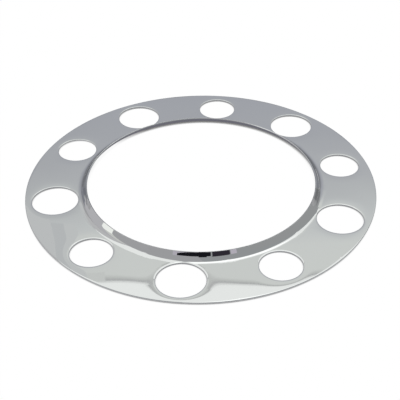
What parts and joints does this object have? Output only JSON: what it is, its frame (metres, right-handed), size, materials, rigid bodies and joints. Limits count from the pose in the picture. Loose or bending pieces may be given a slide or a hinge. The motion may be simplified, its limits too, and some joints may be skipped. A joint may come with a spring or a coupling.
{
  "type": "wheel trim ring",
  "caption": "Barely dished ring of polished stainless sheet with an upturned collar round the hub opening and alternating small and large wheel-nut holes; covers a truck wheel's nut face.",
  "frame": {"origin": "centre of the ring on the plane that its collar's foot rests on", "axes": "+Z along the ring's axis, out of the polished face; +X through the middle of a small nut hole"},
  "size_m": [0.401, 0.401, 0.0088],
  "materials": {
    "polished_stainless": "mirror polished"
  },
  "bodies": {
    "root": {"trim_ring": "polished_stainless"}
  },
  "joints": []
}
